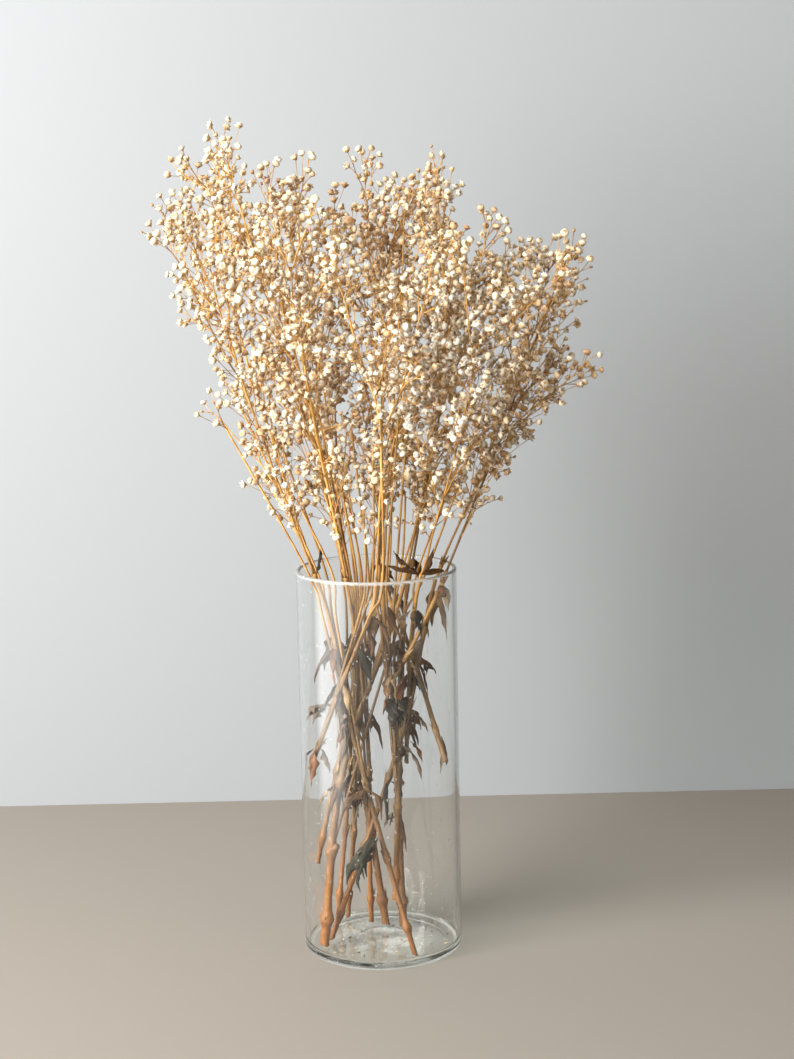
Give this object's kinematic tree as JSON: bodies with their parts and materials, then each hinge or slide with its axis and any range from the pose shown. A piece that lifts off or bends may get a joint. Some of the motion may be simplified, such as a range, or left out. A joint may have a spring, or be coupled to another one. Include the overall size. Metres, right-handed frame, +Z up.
{
  "type": "dried gypsophila in vase",
  "caption": "Loose bunch of dried gypsophila with fine forked twigs and small cream blooms, standing in a tall straight clear glass cylinder vase.",
  "frame": {"origin": "centre of the vase's flat underside, which rests on the surface", "axes": "+Z up along the vase's axis, -Y towards the side that the picture shows, +X to its right"},
  "size_m": [0.2801, 0.2193, 0.5318],
  "materials": {
    "clear_glass": "clear polished soda-lime glass with a fire-polished rim",
    "dried_plant": "matt dried straw stems with cream papery blooms",
    "dried_leaf": "matt brittle dark brown curled leaf"
  },
  "bodies": {
    "root": {"glass_vase": "clear_glass", "spray_left_back": "dried_plant", "spray_left_front": "dried_plant", "spray_mid_left": "dried_plant", "spray_front": "dried_plant", "spray_right_front": "dried_plant", "spray_right_back": "dried_plant", "spray_back": "dried_plant", "spray_mid_right": "dried_plant", "spray_centre": "dried_plant", "spray_back_right": "dried_plant", "spray_heart": "dried_plant", "spray_mid_back": "dried_plant", "spray_back_left": "dried_plant", "spray_front_left": "dried_plant", "leaf_01": "dried_leaf", "leaf_02": "dried_leaf", "leaf_03": "dried_leaf", "leaf_04": "dried_leaf", "leaf_05": "dried_leaf", "leaf_06": "dried_leaf", "leaf_07": "dried_leaf", "leaf_08": "dried_leaf", "leaf_09": "dried_leaf", "leaf_10": "dried_leaf", "leaf_11": "dried_leaf", "leaf_12": "dried_leaf", "leaf_13": "dried_leaf", "leaf_14": "dried_leaf", "leaf_15": "dried_leaf", "leaf_16": "dried_leaf", "leaf_17": "dried_leaf", "leaf_18": "dried_leaf"}
  },
  "joints": []
}
